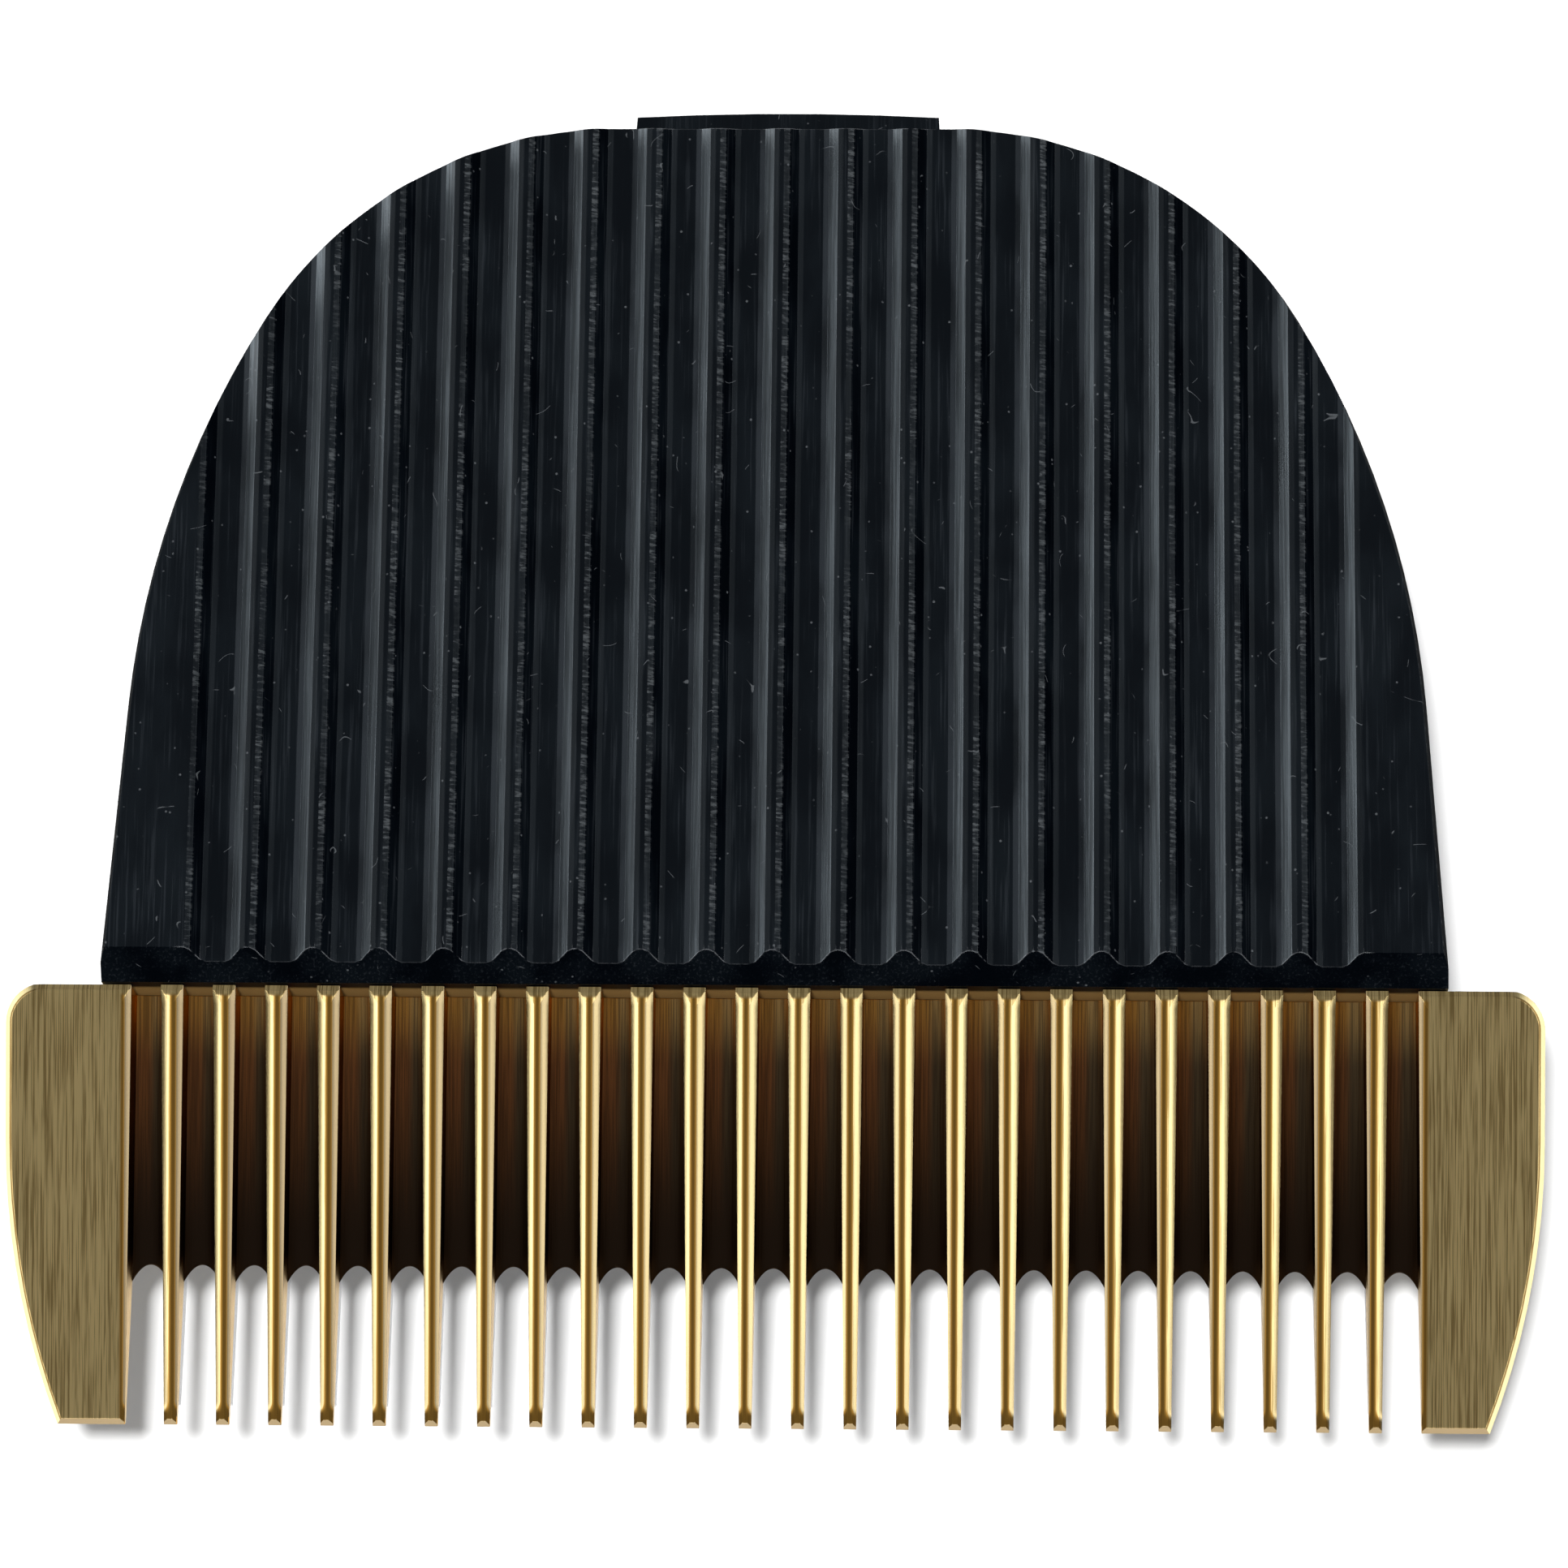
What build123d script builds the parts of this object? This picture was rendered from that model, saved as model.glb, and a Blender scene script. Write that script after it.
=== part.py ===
from build123d import *
import os
from math import acos, asin, cos, degrees, radians, sin, sqrt, tan

# Clip-on blade block of a hair clipper, lying on its drive side.
# +X runs along the row of teeth, +Y from the teeth to the mounting hook and +Z out of the ribbed pad.
# The origin is the middle of the block's footprint, on the plane that it rests on. Sizes are millimetres.

# Fixed comb: a steel wedge whose upper face lies on the skin
comb_width = 47.0
comb_run = 13.5  # skin face, from the tips to its rear edge
skin_angle = 14.0  # between the skin face and the shear face under it
tip_thickness = 0.5
tooth_pitch = 1.6
tooth_count = 24
tooth_width_rear = 0.68
tooth_width_tip = 0.38
tooth_land = 0.15  # flat strip left on top of a tooth by its bevels
bevel_run_out = 0.55  # the bevels fade out over this length at the rear edge
gap_depth = 4.78  # open slot between two teeth, from the tips to its arch
groove_floor_radius = 1.3
lug_corner_radius = 1.2
lug_straight = 4.7  # straight part of a lug's outer edge
lug_side_radius = 24.5
lug_tip_radius = 0.8
lug_edge_bevel = 0.2
flange_thickness = 1.4
flange_reach = 9.0
flange_inset = 2.75  # from the pad's front corner
relief_depth = 0.3  # hollow across the shear face, so that the cutter bears at its teeth
relief_length = 3.6
relief_place = 2.2  # in front of the comb's rear edge

# Ribbed pad and body moulding
pad_width = 41.1  # across the front
pad_length = 27.4
pad_rise = 1.1  # of the pad over the comb's rear edge
pad_thickness = 1.6  # under the ribs
corner_span = 15.35  # from the pad's front corner to the straight rear edge, across
shoulder_radius = 12.6
side_radius = 28.8
side_taper = 4.0
front_lean = 38.0
rim_bevel = 0.15  # leaning strip round the pad's top, seen from above
rim_height = 0.5  # of that strip, deeper than the ribs
wall = 1.5
rib_pitch = 2.0
rib_count = 18
rib_depth = 0.45
rib_floor = 0.8
rib_flank = 0.43
rib_bevel = 0.1  # along the edges of the ribs
floor_bevel = 0.1  # along the corners of the grooves' floors
front_gap = 0.05  # between the comb's rear face and the moulding
window_clearance = 0.2
cheek_reach = 4.2  # arms of the moulding that carry the comb's lugs
cheek_width = 2.1  # beyond the side walls
cheek_round = 0.8

# Mounting hook
hook_width = 9.7
hook_flare = 0.2
hook_reach = 2.3
hook_thickness = 1.7
hook_drop = 5.5  # from the pad's top to the hook's top
hook_bow = 0.13
hook_lip = 0.6
hook_lip_length = 0.9

# Cutter and its carrier
shear_height = 5.6  # of the shear face over the resting plane
stroke = 1.2  # to each side
film = 0.02  # running gap of faces that slide on each other
cutter_thickness = 1.0
cutter_setback = 0.8  # of the cutter's tips behind the comb's tips
cutter_tooth_root = 0.46
cutter_tooth_tip = 0.3
cutter_root_bevel = 0.3
cutter_root_clearance = 0.9  # of the cutter's slots behind the comb's arches
cutter_band = 2.3  # solid strip behind the slots
cutter_shoulder = 1.2
cutter_neck_margin = 1.5  # on each side of the carrier
cutter_tail = 6.0  # behind the comb's rear edge
carrier_inset = 2.7  # from the coil's inner end, clear of the spring's leg at full stroke
carrier_height = 3.0
carrier_front = 2.0  # in front of the comb's rear edge
carrier_back = 5.6
carrier_round = 0.8
wing_reach = 3.9  # the springs press on the wings
wing_thickness = 1.0
wing_front = 0.5
wing_back = 4.0
drive_slot_width = 3.2
drive_slot_length = 6.2
drive_slot_depth = 2.4
peg_diameter = 2.0
peg_inset = 2.0  # from the carrier's sides
peg_place = 3.5  # behind the comb's rear edge
peg_height = 1.1  # into the comb's guide slots
peg_clearance = 0.05
guide_end_clearance = 0.2

# Pressure springs
wire_diameter = 0.6
wire_flats = 8  # the round wire is drawn with this many flats
coil_diameter = 3.6
coil_turns = 3
coil_pitch = 0.66
coil_place = 14.0  # behind the comb's rear edge
coil_inset = 8.35  # from the pad's front corner to the coil's inner end
front_leg = 12.4
rear_leg = 5.0
post_clearance = 0.2
post_end = 0.4
post_rib_thickness = 1.2
post_rib_length = 4.4
abutment_width = 1.8
abutment_length = 1.4

# Comb screws
screw_inset = 4.55  # from the pad's front corner
screw_place = 6.6  # behind the comb's rear edge
screw_diameter = 2.0
screw_length = 3.7
screw_head_diameter = 3.6
screw_head_height = 1.2
screw_head_bevel = 0.35
screw_point = 0.3
screw_clearance = 0.05
flange_hole_clearance = 0.15
boss_diameter = 4.4
cross_width = 0.5
cross_length = 2.2
cross_depth = 0.7

# Places that follow from the sizes above
overshoot = 1.0  # cutting tools run this far past what they cut
skim = 0.02  # allowance on the pad's top that the grooving takes off
tilt = radians(skin_angle)
comb_reach = comb_run * cos(tilt) - lug_edge_bevel * sin(tilt)
overall_length = comb_reach + pad_length + hook_reach
tip_y = -overall_length / 2
seam_y = tip_y + comb_reach
pad_front_y = seam_y + front_gap
pad_rear_y = seam_y + pad_length
rear_edge_z = shear_height + tip_thickness + comb_run * sin(tilt)
pad_z = rear_edge_z + pad_rise
ceiling_z = pad_z - rib_depth - pad_thickness
flange_top_z = shear_height + flange_thickness
cutter_z = shear_height - film - cutter_thickness
wing_z = cutter_z - wing_thickness
carrier_z = cutter_z - carrier_height
leg_z = wing_z - film - wire_diameter / 2
coil_y = seam_y + coil_place
coil_z = leg_z + coil_diameter / 2
coil_start = pad_width / 2 - coil_inset
coil_end = coil_start + coil_turns * coil_pitch
screw_spacing = pad_width - 2 * screw_inset
flange_width = pad_width - 2 * flange_inset
carrier_width = 2 * (coil_start - carrier_inset)
cutter_neck_width = carrier_width + 2 * cutter_neck_margin
peg_spacing = carrier_width - 2 * peg_inset
screw_y = seam_y + screw_place
peg_y = seam_y + peg_place

# The comb's skin face: local X along the row of teeth, local Y up the face to its rear edge
skin_normal = (0, -sin(tilt), cos(tilt))
skin_plane = Plane(origin=(0, seam_y, rear_edge_z), x_dir=(1, 0, 0), z_dir=skin_normal)

# Groove between two teeth: a round floor, straight walls that close in to the rear, and bevels
groove_depth = tip_thickness / cos(tilt) + gap_depth * tan(tilt)
groove_half_tip = (tooth_pitch - tooth_width_tip) / 2
groove_half_rear = (tooth_pitch - tooth_width_rear) / 2
wall_slope = (groove_half_tip - groove_half_rear) / comb_run
front_half = groove_half_tip + wall_slope * overshoot
back_half = groove_half_rear - wall_slope * overshoot
groove_start = comb_run + overshoot
floor_rise = groove_floor_radius - sqrt(groove_floor_radius**2 - front_half**2)
floor_corner = groove_depth - floor_rise
bevel_lift = 0.05
bevel_half = (tooth_pitch - tooth_land) / 2 + bevel_lift
bevel_depth = bevel_half - groove_half_rear / 2
section_plane = Plane(
    origin=skin_plane.from_local_coords((0, -groove_start, 0)),
    x_dir=(1, 0, 0),
    z_dir=skin_plane.y_dir,
)

with BuildPart() as groove_tool:
    with BuildSketch(section_plane):
        with BuildLine():
            Polyline(
                (front_half, floor_corner),
                (front_half, -overshoot),
                (-front_half, -overshoot),
                (-front_half, floor_corner),
            )
            ThreePointArc((-front_half, floor_corner), (0, groove_depth), (front_half, floor_corner))
        make_face()
    extrude(amount=groove_start + overshoot)
    with BuildSketch(skin_plane.offset(overshoot)):
        with BuildLine():
            Polyline(
                (-front_half, -groove_start),
                (front_half, -groove_start),
                (back_half, overshoot),
                (-back_half, overshoot),
                close=True,
            )
        make_face()
    extrude(amount=-(groove_depth + 2 * overshoot), mode=Mode.INTERSECT)
    with BuildSketch(skin_plane.offset(bevel_lift)):
        with BuildLine():
            Polyline(
                (-bevel_half, -groove_start),
                (bevel_half, -groove_start),
                (bevel_half, -bevel_run_out),
                (groove_half_rear, 0),
                (-groove_half_rear, 0),
                (-bevel_half, -bevel_run_out),
                close=True,
            )
        make_face()
    extrude(amount=-bevel_depth, taper=45)

with BuildPart() as fixed_comb:
    # Outline with the two rounded lugs, bevelled all round its skin face, then cut to a wedge from below
    with BuildSketch(skin_plane) as comb_outline:
        lug_bend = degrees(asin((comb_run - lug_straight) / lug_side_radius))
        with BuildLine():
            outer_edge = Line((comb_width / 2, 0), (comb_width / 2, -lug_straight))
            outer_bend = JernArc(outer_edge @ 1, outer_edge % 1, lug_side_radius, -lug_bend)
            Line(outer_bend @ 1, (0, -comb_run))
            Line((0, 0), outer_edge @ 0)
            mirror(about=Plane.YZ)
        make_face()
        corners = comb_outline.vertices().group_by(Axis.Y)
        fillet(corners[-1], lug_corner_radius)
        fillet(corners[0], lug_tip_radius)
    extrude(amount=-rear_edge_z)
    skin_face = fixed_comb.faces().sort_by(Axis(skin_plane.origin, skin_normal))[-1]
    chamfer(skin_face.edges(), lug_edge_bevel)
    split(bisect_by=Plane.XY.offset(shear_height), keep=Keep.TOP)
    split(bisect_by=Plane.XZ.offset(-seam_y), keep=Keep.TOP)
    # Hollow across the shear face
    with BuildSketch(Plane.XY.offset(shear_height)):
        with Locations((0, seam_y - relief_place - relief_length / 2)):
            Rectangle(tooth_count * tooth_pitch + 2 * groove_half_tip, relief_length)
    extrude(amount=relief_depth, mode=Mode.SUBTRACT)
    # Thin flange under the pad, with the screw holes and the slots that guide the cutter
    with BuildSketch(Plane.XY.offset(shear_height)) as flange:
        with Locations((0, seam_y + (flange_reach - overshoot) / 2)):
            Rectangle(flange_width, flange_reach + overshoot)
        fillet(flange.vertices().group_by(Axis.Y)[-1], lug_corner_radius)
        with Locations((0, screw_y)):
            with GridLocations(screw_spacing, 0, 2, 1):
                Circle(screw_diameter / 2 + flange_hole_clearance, mode=Mode.SUBTRACT)
        with Locations((0, peg_y)):
            with GridLocations(peg_spacing, 0, 2, 1):
                SlotOverall(
                    peg_diameter + 2 * (stroke + guide_end_clearance),
                    peg_diameter + 2 * peg_clearance,
                    mode=Mode.SUBTRACT,
                )
    extrude(amount=flange_thickness)
    with GridLocations(tooth_pitch, 0, tooth_count + 1, 1):
        add(groove_tool.part, mode=Mode.SUBTRACT)

# Outline of the pad: straight sides, a wide side arc and a tighter shoulder, tangent to each other
half_width = pad_width / 2
taper = radians(side_taper)
shoulder_x = half_width - corner_span
shoulder_y = pad_rear_y - shoulder_radius - pad_front_y
side_reach = side_radius - corner_span * cos(taper) + shoulder_y * sin(taper)
hip_angle = side_taper + degrees(acos(side_reach / (side_radius - shoulder_radius)))

with BuildSketch() as pad_outline:
    with BuildLine():
        rear_line = Line((0, pad_rear_y), (shoulder_x, pad_rear_y))
        shoulder = JernArc(rear_line @ 1, rear_line % 1, shoulder_radius, hip_angle - 90)
        side_bend = JernArc(shoulder @ 1, shoulder % 1, side_radius, side_taper - hip_angle)
        Polyline(side_bend @ 1, (half_width, pad_front_y), (0, pad_front_y))
        mirror(about=Plane.YZ)
    make_face()

with BuildPart() as blade_body:
    add(pad_outline.sketch)
    extrude(amount=pad_z - rim_height)
    # Rim that leans in round the top, so that the grooves run out above the side walls
    with BuildSketch(Plane.XY.offset(pad_z - rim_height)):
        add(pad_outline.sketch)
    with BuildSketch(Plane.XY.offset(pad_z + skim)):
        offset(pad_outline.sketch, amount=-rim_bevel, kind=Kind.INTERSECTION)
    loft(ruled=True)
    # Grooves that leave the ribs standing
    groove_half = rib_floor / 2 + rib_flank
    with BuildSketch(Plane.XZ.offset(-pad_rear_y - overshoot)) as rib_gaps:
        with Locations((0, pad_z + overshoot / 2)):
            Rectangle(pad_width + 2 * overshoot, overshoot)
        with Locations((0, pad_z)):
            with GridLocations(rib_pitch, 0, rib_count, 1):
                Polygon(
                    (-groove_half, overshoot / 2),
                    (-groove_half, 0),
                    (-rib_floor / 2, -rib_depth),
                    (rib_floor / 2, -rib_depth),
                    (groove_half, 0),
                    (groove_half, overshoot / 2),
                    align=None,
                )
        chamfer(rib_gaps.vertices().group_by(Axis.Y)[1].sort_by(Axis.X)[1:-1], rib_bevel)
        chamfer(rib_gaps.vertices().group_by(Axis.Y)[0], floor_bevel)
    extrude(amount=pad_length + 2 * overshoot, mode=Mode.SUBTRACT)
    # Leaning front face
    lean = radians(front_lean)
    with BuildSketch(Plane.YZ):
        with BuildLine():
            Polyline(
                (pad_front_y, rear_edge_z),
                (pad_front_y + (pad_rise + overshoot) * tan(lean), pad_z + overshoot),
                (pad_front_y - overshoot, pad_z + overshoot),
                (pad_front_y - overshoot, rear_edge_z),
                close=True,
            )
        make_face()
    extrude(amount=pad_width, both=True, mode=Mode.SUBTRACT)
    # Hollow from below, open at the front for the comb's flange and the cutter
    with BuildSketch(Plane.XY):
        offset(pad_outline.sketch, amount=-wall, kind=Kind.INTERSECTION)
    extrude(amount=ceiling_z, mode=Mode.SUBTRACT)
    with BuildSketch(Plane.XY):
        with Locations((0, pad_front_y + wall / 2)):
            Rectangle(flange_width + 2 * window_clearance, wall + 2 * overshoot)
    extrude(amount=flange_top_z + film, mode=Mode.SUBTRACT)
    # Arms under the comb's lugs
    arm_inner = half_width - wall
    arm_outer = half_width + cheek_width
    with BuildSketch(Plane.XY) as arms:
        with BuildLine():
            Polyline(
                (arm_inner, pad_front_y + wall / 2),
                (half_width - wall / 4, pad_front_y + wall / 2),
                (half_width - wall / 4, seam_y),
                (arm_outer, seam_y - lug_corner_radius),
                (arm_outer, seam_y - cheek_reach),
                (arm_inner, seam_y - cheek_reach),
                close=True,
            )
        make_face()
        fillet(arms.vertices().group_by(Axis.Y)[0], cheek_round)
        mirror(about=Plane.YZ)
    extrude(amount=shear_height - film)
    # Mounting hook with its lip
    hook_plane = Plane.XY.offset(pad_z - hook_drop - hook_thickness)
    hook_root_y = pad_rear_y - wall / 2
    hook_end_y = pad_rear_y + hook_reach
    with BuildSketch(hook_plane) as hook:
        with BuildLine():
            Polyline(
                (-hook_width / 2, hook_end_y - hook_bow),
                (-hook_width / 2 - hook_flare, hook_root_y),
                (hook_width / 2 + hook_flare, hook_root_y),
                (hook_width / 2, hook_end_y - hook_bow),
            )
            ThreePointArc(
                (hook_width / 2, hook_end_y - hook_bow),
                (0, hook_end_y),
                (-hook_width / 2, hook_end_y - hook_bow),
            )
        make_face()
    extrude(amount=hook_thickness)
    with BuildSketch(hook_plane):
        add(hook.sketch)
        with Locations((0, hook_end_y - hook_lip_length - pad_length / 2)):
            Rectangle(pad_width, pad_length, mode=Mode.SUBTRACT)
    extrude(amount=-hook_lip)
    # Screw bosses
    with BuildSketch(Plane.XY.offset(flange_top_z + film)):
        with Locations((0, screw_y)):
            with GridLocations(screw_spacing, 0, 2, 1):
                Circle(boss_diameter / 2)
    extrude(until=Until.NEXT)
    with BuildSketch(Plane.XY.offset(flange_top_z)):
        with Locations((0, screw_y)):
            with GridLocations(screw_spacing, 0, 2, 1):
                Circle(screw_diameter / 2 + screw_clearance)
    extrude(amount=screw_length - flange_thickness + screw_clearance, mode=Mode.SUBTRACT)
    # Posts that carry the springs, and the abutments of their rear legs
    post_inner = coil_start - wire_diameter / 2 - post_clearance
    with BuildSketch(Plane.XY.offset(coil_z - coil_diameter / 2)) as spring_ribs:
        with Locations((post_inner - post_rib_thickness / 2, coil_y)):
            Rectangle(post_rib_thickness, post_rib_length)
        mirror(about=Plane.YZ)
    extrude(until=Until.NEXT)
    with BuildSketch(Plane.XY.offset(leg_z + wire_diameter / 2 + film)) as abutments:
        with Locations((coil_end, coil_y + rear_leg - abutment_length / 2)):
            Rectangle(abutment_width, abutment_length)
        mirror(about=Plane.YZ)
    extrude(until=Until.NEXT)
    for side in (1, -1):
        with BuildSketch(Plane.YZ.offset(side * post_inner)):
            with Locations((coil_y, coil_z)):
                Circle((coil_diameter - wire_diameter) / 2 - post_clearance)
        extrude(amount=side * (coil_end - post_inner + wire_diameter / 2 + post_end))

with BuildPart() as moving_cutter:
    cutter_tip_y = tip_y + cutter_setback
    cutter_root_y = tip_y + gap_depth * cos(tilt) + cutter_root_clearance
    band_back_y = cutter_root_y + cutter_band
    band_half = (tooth_count - 1) * tooth_pitch / 2 + cutter_tooth_root / 2
    with BuildSketch(Plane.XY.offset(cutter_z)) as cutter_outline:
        with BuildLine():
            Polyline(
                (0, cutter_root_y),
                (band_half, cutter_root_y),
                (band_half, band_back_y),
                (cutter_neck_width / 2, band_back_y + cutter_shoulder),
                (cutter_neck_width / 2, seam_y + cutter_tail),
                (0, seam_y + cutter_tail),
            )
            mirror(about=Plane.YZ)
        make_face()
        with GridLocations(tooth_pitch, 0, tooth_count, 1):
            Polygon(
                (-cutter_tooth_root / 2, cutter_root_y),
                (-cutter_tooth_tip / 2, cutter_tip_y),
                (cutter_tooth_tip / 2, cutter_tip_y),
                (cutter_tooth_root / 2, cutter_root_y),
                align=None,
            )
        slot_roots = cutter_outline.vertices().group_by(Axis.Y)[1].sort_by(Axis.X)[1:-1]
        chamfer(slot_roots, cutter_root_bevel)
        with Locations((0, peg_y)):
            with GridLocations(peg_spacing, 0, 2, 1):
                Circle(peg_diameter / 2 + film, mode=Mode.SUBTRACT)
    extrude(amount=cutter_thickness)

with BuildPart() as cutter_carrier:
    with BuildSketch(Plane.XY.offset(carrier_z)) as block:
        with Locations((0, seam_y + (carrier_back - carrier_front) / 2)):
            RectangleRounded(carrier_width, carrier_back + carrier_front, carrier_round)
    extrude(amount=carrier_height)
    with BuildSketch(Plane.XY.offset(wing_z)):
        with Locations((0, seam_y + (wing_front + wing_back) / 2)):
            Rectangle(carrier_width + 2 * wing_reach, wing_back - wing_front)
    extrude(amount=wing_thickness)
    with BuildSketch(Plane.XY.offset(carrier_z)):
        with Locations((0, seam_y + (carrier_back - carrier_front) / 2)):
            SlotOverall(drive_slot_length, drive_slot_width, rotation=90)
    extrude(amount=drive_slot_depth, mode=Mode.SUBTRACT)
    with BuildSketch(Plane.XY.offset(cutter_z)):
        with Locations((0, peg_y)):
            with GridLocations(peg_spacing, 0, 2, 1):
                Circle(peg_diameter / 2)
    extrude(amount=shear_height - cutter_z + peg_height)

# Wire spring wound about its own Z axis: a leg, the coil and a second leg, each tangent to the next
with BuildPart() as wound_spring:
    with BuildLine() as spring_path:
        coil = Helix(coil_pitch, coil_turns * coil_pitch, coil_diameter / 2)
        Line((coil @ 0) - (coil % 0) * front_leg, coil @ 0)
        Line(coil @ 1, (coil @ 1) + (coil % 1) * rear_leg)
    with BuildSketch(Plane(origin=spring_path.line @ 0, z_dir=spring_path.line % 0)):
        RegularPolygon(wire_diameter / 2, wire_flats)
    sweep(path=spring_path.line, is_frenet=True)

# In its seat the coil's axis lies along the row of teeth, and both legs leave the coil's lowest point
coil_seat = Plane(origin=(coil_start, coil_y, coil_z), x_dir=(0, 0, -1), z_dir=(1, 0, 0))

with BuildPart() as right_pressure_spring:
    add(wound_spring.part.moved(coil_seat.location))

with BuildPart() as left_pressure_spring:
    mirror(right_pressure_spring.part, about=Plane.YZ)

with BuildPart() as comb_screws:
    with BuildSketch(Plane.XY.offset(shear_height - screw_head_height)) as heads:
        with Locations((0, screw_y)):
            with GridLocations(screw_spacing, 0, 2, 1):
                Circle(screw_head_diameter / 2)
    extrude(amount=screw_head_height)
    chamfer(comb_screws.edges().group_by(Axis.Z)[0], screw_head_bevel)
    with BuildSketch(Plane.XY.offset(shear_height)):
        with Locations((0, screw_y)):
            with GridLocations(screw_spacing, 0, 2, 1):
                Circle(screw_diameter / 2)
    extrude(amount=screw_length)
    chamfer(comb_screws.edges().group_by(Axis.Z)[-1], screw_point)
    with BuildSketch(Plane.XY.offset(shear_height - screw_head_height)):
        with Locations((0, screw_y)):
            with GridLocations(screw_spacing, 0, 2, 1):
                Rectangle(cross_length, cross_width)
                Rectangle(cross_width, cross_length)
    extrude(amount=cross_depth, mode=Mode.SUBTRACT)

os.makedirs("parts", exist_ok=True)
for name, piece in (
    ("blade_body", blade_body),
    ("fixed_comb", fixed_comb),
    ("moving_cutter", moving_cutter),
    ("cutter_carrier", cutter_carrier),
    ("right_pressure_spring", right_pressure_spring),
    ("left_pressure_spring", left_pressure_spring),
    ("comb_screws", comb_screws),
):
    piece.part.label = name
    export_step(piece.part, f"parts/{name}.step")
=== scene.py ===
# %% [markdown]
# A clip-on blade block of a hair clipper: a gold-coated steel comb on a ribbed black moulding.
# The imported solids already have the right shape, so this lesson mostly dresses them: each solid gets
# a finish built from shader nodes, and the two wire springs are wound again with a rounder wire.
# The first cell loads the solids as a fixed frame, from which later cells read their boxes.

# %% Load the frame
from math import cos, pi, radians, sin

import bpy
import numpy as np
from mathutils import Matrix, Vector


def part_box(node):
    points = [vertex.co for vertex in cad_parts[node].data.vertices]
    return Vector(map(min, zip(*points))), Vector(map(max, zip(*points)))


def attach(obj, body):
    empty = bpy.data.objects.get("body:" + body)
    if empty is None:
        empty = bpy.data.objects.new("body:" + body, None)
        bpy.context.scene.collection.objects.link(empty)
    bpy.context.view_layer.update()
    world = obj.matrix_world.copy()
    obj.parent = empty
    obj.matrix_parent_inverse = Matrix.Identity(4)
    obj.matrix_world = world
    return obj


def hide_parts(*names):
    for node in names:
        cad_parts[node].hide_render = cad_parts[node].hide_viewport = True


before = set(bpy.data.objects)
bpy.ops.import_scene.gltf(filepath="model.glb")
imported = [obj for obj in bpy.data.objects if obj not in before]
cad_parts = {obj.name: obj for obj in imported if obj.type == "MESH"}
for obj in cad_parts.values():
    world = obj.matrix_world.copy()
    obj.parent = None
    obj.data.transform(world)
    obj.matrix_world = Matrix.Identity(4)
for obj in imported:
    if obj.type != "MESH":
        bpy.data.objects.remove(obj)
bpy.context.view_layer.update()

print("nodes:", sorted(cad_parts))

# %% [markdown]
# Everything is measured from the comb's skin face, the sloping face that lies on the head. Its rear
# edge, the seam, is where comb and moulding meet. The slope, the length of the face and the rise of
# the pad above the seam are known sizes; the rest is read from the boxes of the solids.

# %% Places on the block
MM = 0.001
SKIN_ANGLE = radians(14.0)
COMB_RUN = 13.5 * MM
EDGE_BEVEL = 0.2 * MM
PAD_RISE = 1.1 * MM
RIB_DEPTH = 0.45 * MM
RIBS_WIDTH = 36.0 * MM
HOOK_REACH = 2.3 * MM
HOOK_WIDTH = 9.7 * MM
TOOTH_PITCH = 1.6 * MM
TOOTH_COUNT = 24

comb_low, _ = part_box("fixed_comb")
_, body_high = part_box("blade_body")
pad_z = body_high.z
rear_y = body_high.y - HOOK_REACH
seam_y = comb_low.y + COMB_RUN * cos(SKIN_ANGLE) - EDGE_BEVEL * sin(SKIN_ANGLE)
seam = Vector((0, seam_y, pad_z - PAD_RISE))
skin_out = Vector((0, -sin(SKIN_ANGLE), cos(SKIN_ANGLE)))
skin_up = Vector((0, cos(SKIN_ANGLE), sin(SKIN_ANGLE)))
teeth_half = (TOOTH_COUNT + 1) * TOOTH_PITCH / 2
print("seam in mm:", [round(v / MM, 3) for v in seam])

# %% [markdown]
# The photograph looks square onto the skin face, from close enough to show a little of the tooth walls
# at the left and right. One measured pixel of the seam and the scale on the skin face fix the camera:
# it looks at the picture's middle from the distance that the walls give, and a little from the right,
# because more of the walls shows on the left teeth than on the right ones.

# %% Camera
PHOTO_SIDE = 1932
SEAM_PIXEL = (953.2, 1216)
SKIN_SCALE = 0.02473 * MM  # of one pixel on the skin face
CAMERA_DISTANCE = 205 * MM
CAMERA_SIDE = 6.5 * MM
CAMERA_ROLL = radians(0.24)
SENSOR = 36.0
NEAR_CLIP = 0.01

across = (PHOTO_SIDE / 2 - SEAM_PIXEL[0]) * SKIN_SCALE
upward = (SEAM_PIXEL[1] - PHOTO_SIDE / 2) * SKIN_SCALE
aim = seam + Vector((across, 0, 0)) + upward * skin_up
lens = bpy.data.cameras.new("photo_camera")
lens.sensor_width = SENSOR
lens.lens = SENSOR * CAMERA_DISTANCE / (PHOTO_SIDE * SKIN_SCALE)
lens.clip_start = NEAR_CLIP
camera = bpy.data.objects.new("photo_camera", lens)
bpy.context.scene.collection.objects.link(camera)
stand = aim + CAMERA_DISTANCE * skin_out + Vector((CAMERA_SIDE, 0, 0))
back = (stand - aim).normalized()
right = skin_up.cross(back) * cos(CAMERA_ROLL) + skin_up * sin(CAMERA_ROLL)
turn = Matrix((right, back.cross(right), back)).transposed()
camera.matrix_world = Matrix.Translation(stand) @ turn.to_4x4()
bpy.context.scene.camera = camera
print("lens in mm:", round(lens.lens, 1))

# %% [markdown]
# The room and every finish are made of shader nodes. Nodes can be joined by hand in the editor, but a
# script has to name each one, so four helpers keep the later cells short: one adds any node, one does
# arithmetic, one makes a smooth step from 0 to 1, and one mixes two colours.

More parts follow.
